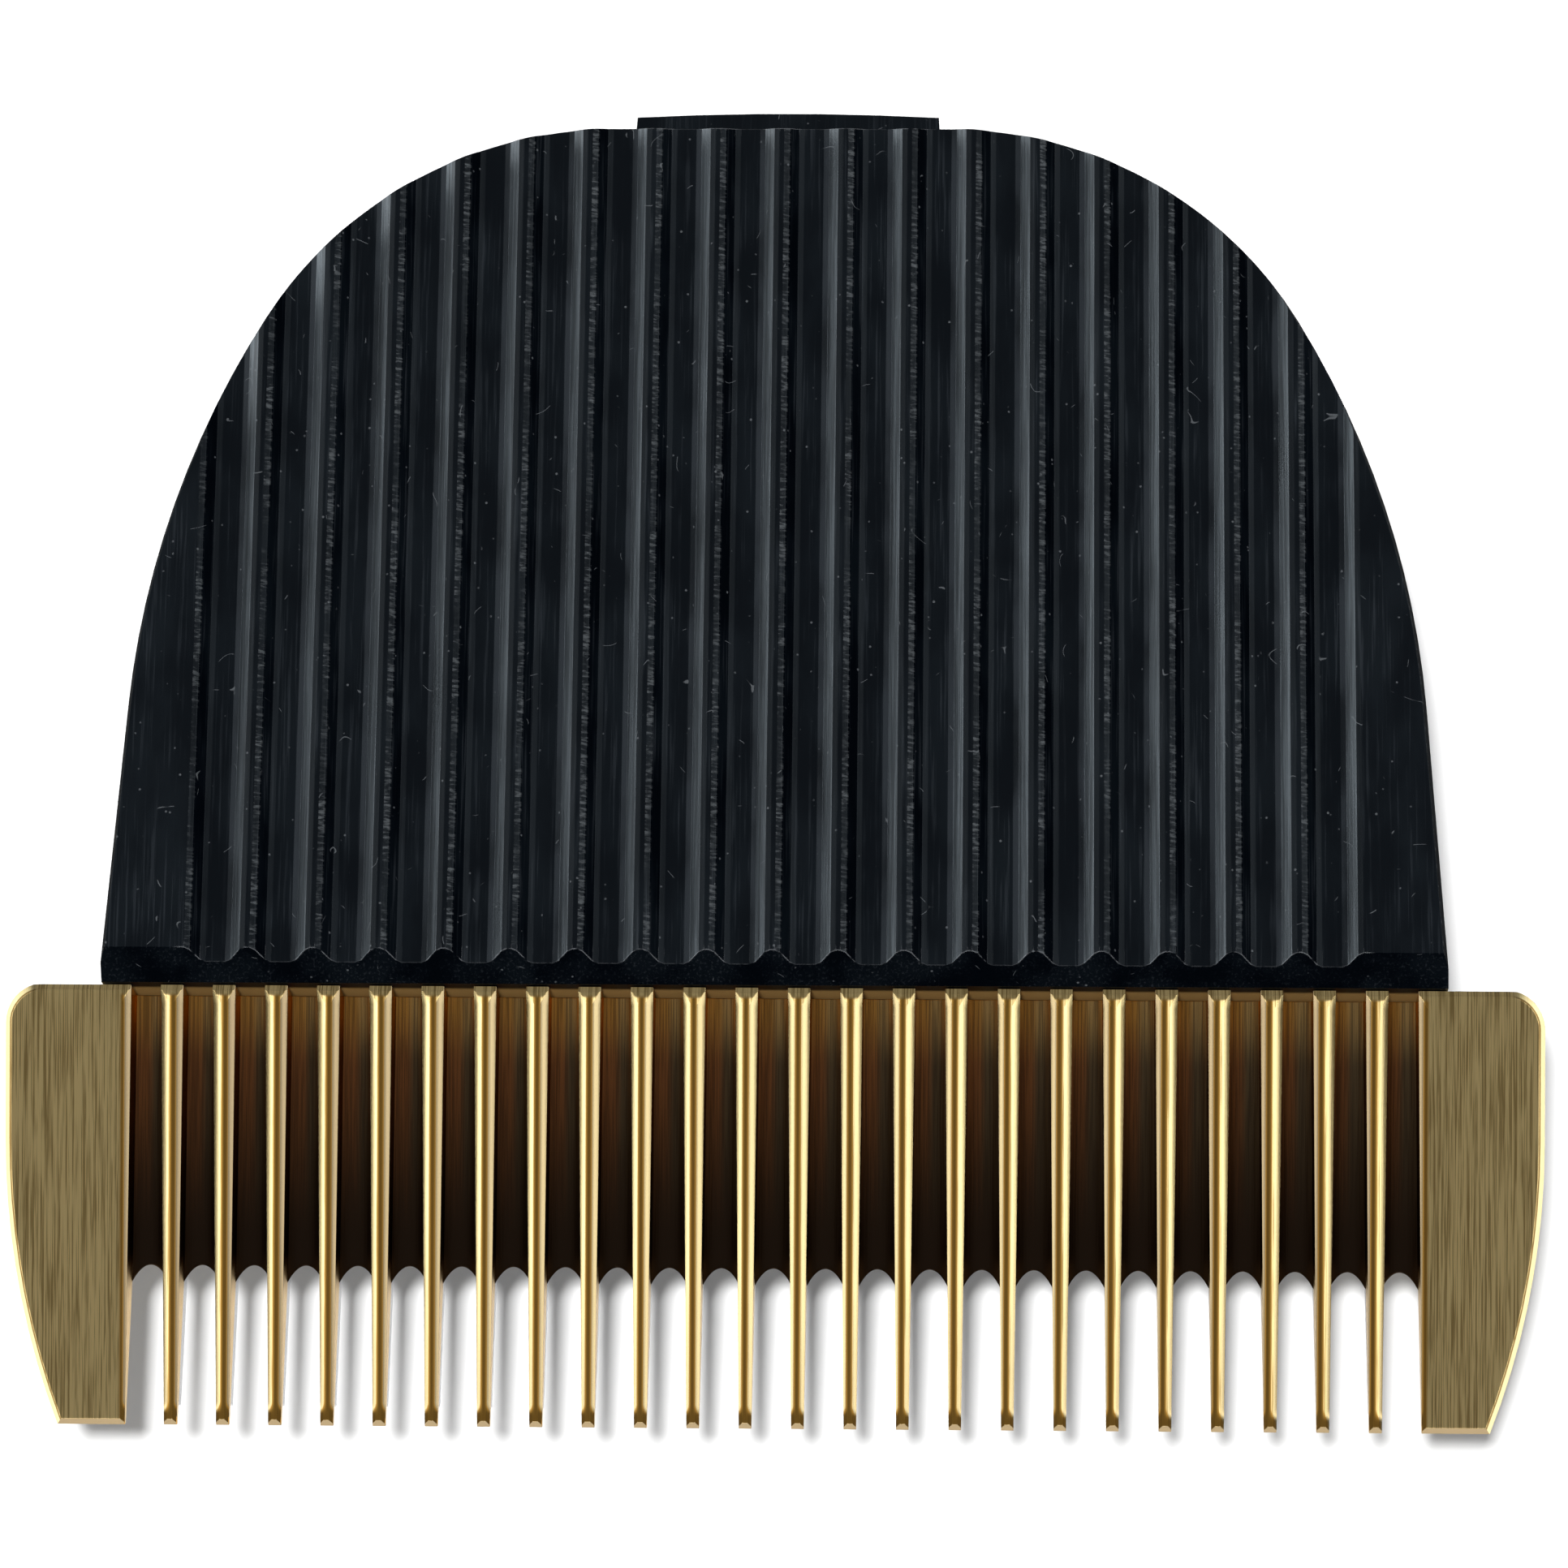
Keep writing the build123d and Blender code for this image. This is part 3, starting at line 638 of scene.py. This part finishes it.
def comb_normal(tree, depth, rearward, tooth, aside, at_tip):
    """Rounded edges, or the skin face's normal on rear bevels, or a crest's normal on teeth."""
    shallow_rear = both(tree, rearward, ramp(tree, depth, 0.3 * MM, 0.25 * MM))
    flat = node(tree, "Mix", {"Factor": shallow_rear}, data_type="VECTOR")
    tree.links.new(rounded(tree, ROUNDED_EDGE), flat.inputs[4])
    flat.inputs[5].default_value = skin_out
    level = math(tree, "MULTIPLY", aside, math(tree, "SUBTRACT", 1.0, at_tip))
    normal = node(tree, "Mix", {"Factor": tooth}, data_type="VECTOR")
    tree.links.new(flat.outputs[1], normal.inputs[4])
    tree.links.new(crest_normal(tree, level), normal.inputs[5])
    return normal.outputs[1]


print("edges rounded by", round(ROUNDED_EDGE / MM, 3), "mm")

# %% [markdown]
# The comb is ground steel with a gold-coloured hard coating, and fine grinding lines run along the
# teeth on the skin face. Several materials on parts of the mesh could do this too, but they would need
# its faces sorted. The distance below the skin face tells face, bevel and groove apart, so one finish
# covers the whole comb.

# %% Gold-coated steel
GROUND_DARK = (0.46, 0.32, 0.12, 1.0)
GROUND_PALE = (1.0, 0.77, 0.35, 1.0)
CREST_DARK_REFLECTION = (0.52, 0.28, 0.055, 1.0)
EDGE_TINT = (1.0, 0.82, 0.55, 1.0)
BEVEL_DEPTH = 0.27 * MM
TIP_FROM = 12.75 * MM
TIP_FULL = 13.25 * MM


def gold_coated_steel():
    """Gold coating: ground skin face, polished bevels, brown grooves, and painted light and shade."""
    finish, tree, shader = new_finish("gold_coated_steel")
    depth, run = along(tree, -skin_out, seam), along(tree, -skin_up, seam)
    x, facing = parts(tree, "Object")["X"], parts(tree, "Normal")
    forward = dot(tree, node(tree, "TexCoord").outputs["Normal"], -skin_up)
    sideways = math(tree, "ABSOLUTE", facing["X"])
    streaks = noise(tree, (0.045 * MM, 3.2 * MM, 3.2 * MM), 3.0, 0.6)
    blotch = noise(tree, (0.8 * MM, 3.0 * MM, 3.0 * MM), 2.0)
    marks = math(tree, "MULTIPLY_ADD", streaks, 0.85, math(tree, "MULTIPLY", blotch, 0.15))
    ground = mix(tree, ramp(tree, marks, 0.38, 0.56), GROUND_DARK, GROUND_PALE)

    on_face = ramp(tree, depth, 0.02 * MM, 0.006 * MM)
    off_face = math(tree, "SUBTRACT", 1.0, on_face)
    between = ramp(tree, math(tree, "ABSOLUTE", x), teeth_half, teeth_half - 0.1 * MM)
    shallow = ramp(tree, depth, BEVEL_DEPTH + 0.03 * MM, BEVEL_DEPTH)
    past_hip = math(tree, "MAXIMUM", ramp(tree, run, 0.25 * MM, 0.40 * MM), off_face)
    rearward = both(tree, ramp(tree, forward, -0.35, -0.55), ramp(tree, sideways, 0.35, 0.10))
    lengthwise = ramp(tree, math(tree, "ABSOLUTE", forward), 0.55, 0.35)
    tooth = both(tree, between, shallow, past_hip, lengthwise)
    aside = tooth_crest(tree, x)
    at_tip = ramp(tree, run, TIP_FROM, TIP_FULL)

    bevel = bevel_gold(tree, x, depth, forward, tooth, shaded_bevels(tree, x, run, aside))
    bevel = mix(tree, rearward, bevel, ground)
    bevel = mix(tree, ramp(tree, depth, 0.32 * MM, 0.42 * MM), bevel, SIDE_GOLD)
    colour = mix(tree, on_face, bevel, ground)
    # Painted dark reflection: the crest's dark line, the dark room mirrored in it, widens over the tips.
    off_crest = math(tree, "MULTIPLY_ADD", at_tip, -0.15 * MM, math(tree, "ABSOLUTE", aside))
    crest = both(tree, tooth, ramp(tree, off_crest, 0.115 * MM, 0.080 * MM))
    colour = mix(tree, crest, colour, CREST_DARK_REFLECTION)
    below_bevel = ramp(tree, depth, 0.25 * MM, 0.6 * MM)
    above_step = ramp(tree, depth, 2.0 * MM, 1.85 * MM)
    upper_side = ramp(tree, facing["Z"], -0.6, -0.4)
    deep = both(tree, below_bevel, above_step, between, upper_side)
    colour = mix(tree, deep, colour, groove_brown(tree, run, facing, sideways, streaks))

    normal = comb_normal(tree, depth, rearward, tooth, aside, at_tip)
    tree.links.new(colour, shader.inputs["Base Color"])
    tree.links.new(math(tree, "MULTIPLY_ADD", on_face, 0.14, 0.24), shader.inputs["Roughness"])
    tree.links.new(bump(tree, streaks, 0.005 * MM, 0.5, normal), shader.inputs["Normal"])
    shader.inputs["Metallic"].default_value = 1.0
    shader.inputs["Specular Tint"].default_value = EDGE_TINT
    return finish


dress("fixed_comb", gold_coated_steel())

# %% [markdown]
# Underneath are a ground steel cutter and two plated screws. Both are bare grey metal that differs only
# in its marks: long grinding lines across the cutter, and the fine spots of zinc on the screws. One
# function makes them all from two greys and the size of the marks, and the spring wire uses it again.

# %% Cutter and screws
CUTTER_DARK = (0.33, 0.33, 0.34, 1.0)
CUTTER_PALE = (0.56, 0.56, 0.57, 1.0)
CUTTER_LINES = (1.2 * MM, 0.06 * MM, 0.06 * MM)
SCREW_DARK = (0.40, 0.40, 0.42, 1.0)
SCREW_PALE = (0.60, 0.60, 0.62, 1.0)
SCREW_SPOTS = (0.2 * MM,) * 3


def steel(name, dark, pale, lines, roughness):
    """Bare or plated steel with marks of the three sizes in lines."""
    finish, tree, shader = new_finish(name)
    marks = noise(tree, lines, 4.0, 0.6)
    blotch = noise(tree, (2.0 * MM,) * 3, 2.0)
    shade = math(tree, "MULTIPLY_ADD", marks, 0.7, math(tree, "MULTIPLY", blotch, 0.3))
    tree.links.new(mix(tree, ramp(tree, shade, 0.3, 0.7), dark, pale), shader.inputs["Base Color"])
    tree.links.new(math(tree, "MULTIPLY_ADD", marks, 0.15, roughness), shader.inputs["Roughness"])
    tree.links.new(bump(tree, marks, 0.004 * MM, 0.5), shader.inputs["Normal"])
    shader.inputs["Metallic"].default_value = 1.0
    return finish


dress("moving_cutter", steel("cutter_steel", CUTTER_DARK, CUTTER_PALE, CUTTER_LINES, 0.22))
dress("comb_screws", steel("screw_steel", SCREW_DARK, SCREW_PALE, SCREW_SPOTS, 0.25))

# %% [markdown]
# The carrier under the cutter is a plain black moulding that no hand rubs, so the wear of the ribbed
# one would be wrong on it. A fine grain and a few paler patches are enough.

# %% Carrier
CARRIER_DARK = (0.012, 0.012, 0.014, 1.0)
CARRIER_PALE = (0.03, 0.03, 0.033, 1.0)


def carrier_plastic():
    """Black plastic with a fine moulded grain and paler patches."""
    finish, tree, shader = new_finish("carrier_plastic")
    grain = noise(tree, (0.08 * MM,) * 3, 3.0)
    patches = noise(tree, (2.5 * MM,) * 3, 2.0)
    tree.links.new(mix(tree, patches, CARRIER_DARK, CARRIER_PALE), shader.inputs["Base Color"])
    tree.links.new(math(tree, "MULTIPLY_ADD", patches, 0.2, 0.35), shader.inputs["Roughness"])
    tree.links.new(bump(tree, grain, 0.01 * MM, 0.5), shader.inputs["Normal"])
    return finish


dress("cutter_carrier", carrier_plastic())

# %% [markdown]
# Two springs of bent wire press the carrier up. The solid springs have a wire with eight flats. A wire
# is a circle carried along a path, so here the path is one array of points, the circle another, and
# the tube is their sum at every pair of both. The path has three stretches: a straight leg, the coil,
# and a second straight leg.

# %% Path of a spring
WIRE = 0.6 * MM
COIL_DIAMETER = 3.6 * MM
COIL_PITCH = 0.66 * MM
COIL_TURNS = 3
REAR_LEG = 5.0 * MM
FRONT_LEG = 12.4 * MM
STEPS_PER_TURN = 48
FRONT_STEPS = 12
REAR_STEPS = 6


def spring_path(side):
    """Points of the wire's centre line: t runs along the legs' tangents and round the coil's helix.

    On the coil, a turn by angle a from the lowest point gives
    x = start + pitch a / 2 pi, y = axis + radius sin a, z = axis height - radius cos a."""
    low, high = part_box("right_pressure_spring")
    radius = COIL_DIAMETER / 2
    rise = COIL_PITCH / (2 * pi)
    slope = rise / radius
    reach = (1 + slope**2) ** 0.5
    axis_z = high.z - radius - WIRE / 2
    start_x = low.x + WIRE / 2 + FRONT_LEG * slope / reach
    axis_y = low.y + FRONT_LEG / reach
    turn = np.linspace(0, 2 * pi * COIL_TURNS, STEPS_PER_TURN * COIL_TURNS + 1)
    coil_y, coil_z = axis_y + radius * np.sin(turn), axis_z - radius * np.cos(turn)
    coil = np.stack([start_x + rise * turn, coil_y, coil_z], 1)
    tangent = np.array([slope, 1.0, 0.0]) / reach
    front = coil[0] - np.linspace(FRONT_LEG, 0, FRONT_STEPS, endpoint=False)[:, None] * tangent
    rear = coil[-1] + np.linspace(0, REAR_LEG, REAR_STEPS + 1)[1:, None] * tangent
    return np.concatenate([front, coil, rear]) * (side, 1, 1)


print("points on a spring's path:", len(spring_path(1)))

# %% [markdown]
# The wire is bright and drawn, with fine lines. The circle needs two directions square to the path at
# every point: one is the block's X with the part along the path taken out, the other is square to both.
# Each ring joins the next by a row of quads, and a flat face closes either end.

# %% Pressure springs
STEPS_AROUND = 20
WIRE_DARK = (0.42, 0.42, 0.43, 1.0)
WIRE_PALE = (0.66, 0.66, 0.67, 1.0)
WIRE_LINES = (0.05 * MM, 0.4 * MM, 0.4 * MM)


def wire_tube(name, path, radius):
    """A round wire along path: centre + radius (cos b * side + sin b * up) for every step and angle b."""
    tangent = np.gradient(path, axis=0)
    tangent /= np.linalg.norm(tangent, axis=1, keepdims=True)
    across = np.tile((1.0, 0.0, 0.0), (len(path), 1))
    across -= (across * tangent).sum(1, keepdims=True) * tangent
    across /= np.linalg.norm(across, axis=1, keepdims=True)
    upward = np.cross(tangent, across)
    angle = np.linspace(0, 2 * pi, STEPS_AROUND, endpoint=False)[None, :, None]
    ring = np.cos(angle) * across[:, None] + np.sin(angle) * upward[:, None]
    points = (path[:, None] + radius * ring).reshape(-1, 3)
    row, column = np.meshgrid(np.arange(len(path) - 1), np.arange(STEPS_AROUND), indexing="ij")
    after = (column + 1) % STEPS_AROUND
    quads = np.stack([row, row, row + 1, row + 1]) * STEPS_AROUND
    quads = quads + np.stack([column, after, after, column])
    faces = quads.reshape(4, -1).T.tolist()
    last = (len(path) - 1) * STEPS_AROUND
    faces.append(list(range(STEPS_AROUND))[::-1])
    faces.append([last + k for k in range(STEPS_AROUND)])
    mesh = bpy.data.meshes.new(name)
    mesh.from_pydata(points.tolist(), [], faces)
    mesh.polygons.foreach_set("use_smooth", np.arange(len(faces)) < len(faces) - 2)
    piece = bpy.data.objects.new(name, mesh)
    bpy.context.scene.collection.objects.link(piece)
    return piece


wire_finish = steel("spring_wire", WIRE_DARK, WIRE_PALE, WIRE_LINES, 0.16)
for name, side in (("right_pressure_spring", 1), ("left_pressure_spring", -1)):
    spring = wire_tube(name.replace("pressure", "wound"), spring_path(side), WIRE / 2)
    spring.data.materials.append(wire_finish)
    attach(spring, "base")
    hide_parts(name)
    print(spring.name, len(spring.data.polygons), "faces")
